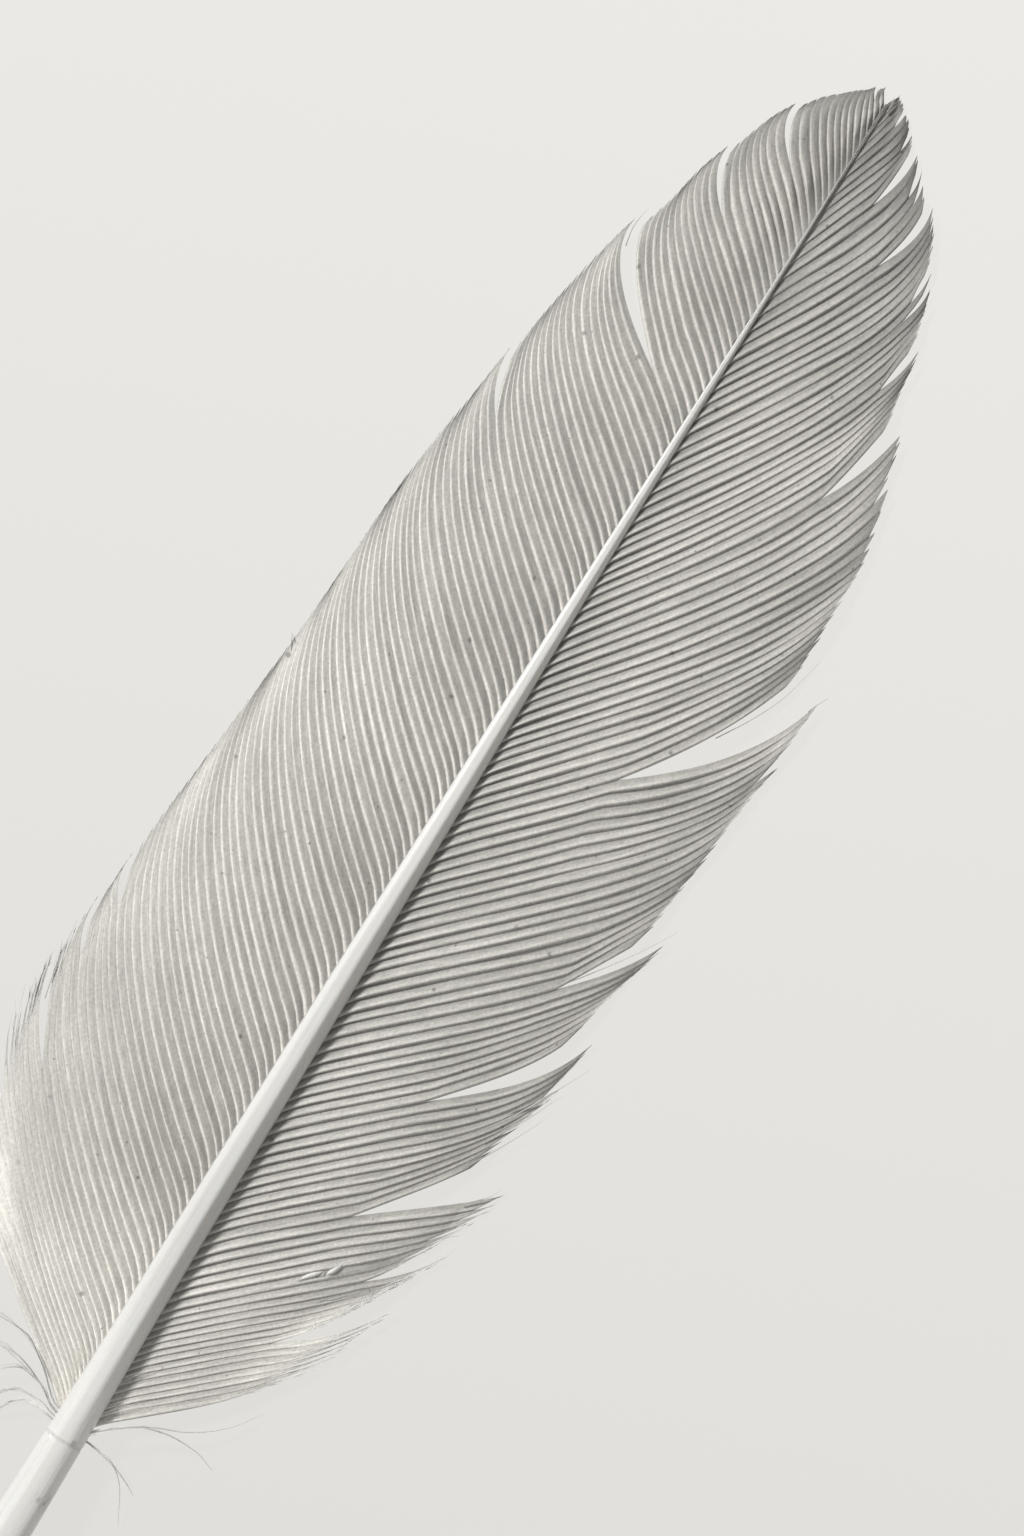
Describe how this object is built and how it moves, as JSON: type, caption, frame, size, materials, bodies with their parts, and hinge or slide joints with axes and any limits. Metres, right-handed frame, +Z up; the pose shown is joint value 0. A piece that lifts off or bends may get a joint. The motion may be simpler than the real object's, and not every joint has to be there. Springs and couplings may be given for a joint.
{
  "type": "goose quill feather",
  "caption": "Grey goose quill feather lying flat, with a tapering pale shaft, broad barbed vanes parted by slits, and loose down where the vanes begin.",
  "frame": {"origin": "on the table, under the middle of the shaft where the vanes begin", "axes": "+X along the shaft towards the feather's tip, +Y towards the wider and smoother vane, +Z up, with the smooth side of the feather up"},
  "size_m": [0.233, 0.0598, 0.0058],
  "materials": {
    "feather": "matte barbs with a satin, horn-like shaft"
  },
  "bodies": {
    "root": {"feather": "feather"}
  },
  "joints": []
}
